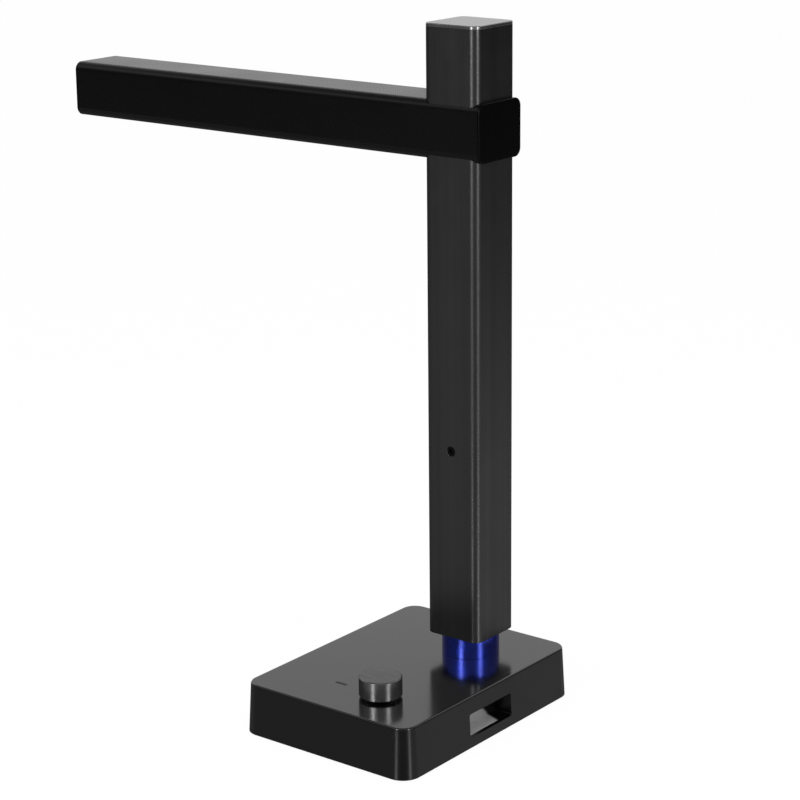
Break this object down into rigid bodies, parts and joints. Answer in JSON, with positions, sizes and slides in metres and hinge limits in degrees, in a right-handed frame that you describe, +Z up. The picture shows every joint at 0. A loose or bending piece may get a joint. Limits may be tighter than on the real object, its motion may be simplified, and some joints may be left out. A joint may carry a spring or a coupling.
{
  "type": "overhead document scanner",
  "caption": "Overhead document scanner: weighted base with push-and-turn knob, square column on a swivel collar, and a hollow sliding arm that holds the camera and its lights.",
  "frame": {"origin": "on the surface that the base stands on, under the middle of the base", "axes": "+Z up along the column; the arm points along -Y over the page; +Y is the side of the base with the socket recess; +X is the side of the base nearest the knob"},
  "size_m": [0.1396, 0.2904, 0.3486],
  "materials": {
    "cover": "glossy black moulding",
    "plate": "fine grained black moulding",
    "pad": "matt anti-slip rubber",
    "screws": "blackened steel",
    "ballast": "cast, painted dark grey",
    "panel": "light grey moulding",
    "socket": "plated steel",
    "board": "green circuit board",
    "chips": "black moulded packages",
    "indicator": "dark translucent light pipe",
    "led": "clear package",
    "encoder": "plated housing",
    "slider": "natural acetal",
    "shaft": "turned steel",
    "knob": "black anodised, turned",
    "hub": "die-cast",
    "bush": "sintered bronze",
    "collar": "polished blue anodised",
    "column": "satin black anodised extrusion",
    "cap": "satin black anodised plate",
    "dark_screw": "black oxide steel",
    "arm": "glossy black anodised extrusion",
    "arm_cap": "glossy black moulding",
    "sensor": "glass-covered chip",
    "barrel": "black anodised",
    "glass": "coated glass",
    "light_board": "white circuit board",
    "diffuser": "opal diffusing plastic"
  },
  "bodies": {
    "base": {"base_cover": "cover", "base_plate": "plate", "rubber_pad": "pad", "plate_screws": "screws", "ballast_weight": "ballast", "ballast_screws": "screws", "port_panel": "panel", "usb_socket": "socket", "control_board": "board", "board_chips": "chips", "board_screws": "screws", "indicator_lens": "indicator", "indicator_led": "led", "encoder_body": "encoder", "swivel_hub": "hub", "hub_screws": "screws", "swivel_bushes": "bush", "thrust_washer": "slider", "collar_ring": "collar"},
    "column": {"swivel_spindle": "shaft", "spring_washer": "shaft", "spindle_nut": "screws", "column_foot": "hub", "foot_screws": "screws", "column_tube": "column", "column_cap": "cap", "stop_block": "slider", "stop_screw": "dark_screw"},
    "arm": {"arm_shell": "arm", "arm_cap_front": "arm_cap", "arm_cap_rear": "arm_cap", "guide_block": "slider", "friction_pads": "pad", "rear_glide": "slider", "guide_screws": "screws", "camera_carrier": "plate", "camera_board": "board", "camera_screws": "screws", "image_sensor": "sensor", "lens_holder": "chips", "lens_barrel": "barrel", "lens_glass": "glass", "lens_bezel": "arm_cap", "lens_window": "glass", "light_board": "light_board", "light_chips": "led", "light_diffuser": "diffuser"},
    "knob_slider": {"encoder_plunger": "slider"},
    "knob": {"knob_shaft": "shaft", "knob_insert": "chips", "knob_cap": "knob"}
  },
  "joints": [
    {"name": "column_swivel", "type": "hinge", "parent": "base", "child": "column", "pos_m": [-0.0338, 0.0138, 0.0382], "axis": [0, 0, 1], "range_deg": [-90, 90]},
    {"name": "arm_slide", "type": "slide", "parent": "column", "child": "arm", "axis": [0, 0, 1], "range_m": [-0.148, 0.028]},
    {"name": "knob_push", "type": "slide", "parent": "base", "child": "knob_slider", "axis": [0, 0, 1], "range_m": [-0.0006, 0], "stiffness_N_per_m": 2000, "springref_m": 0.0003},
    {"name": "knob_turn", "type": "hinge", "parent": "knob_slider", "child": "knob", "pos_m": [0.0424, 0.0152, 0.03], "axis": [0, 0, 1], "continuous": true}
  ]
}
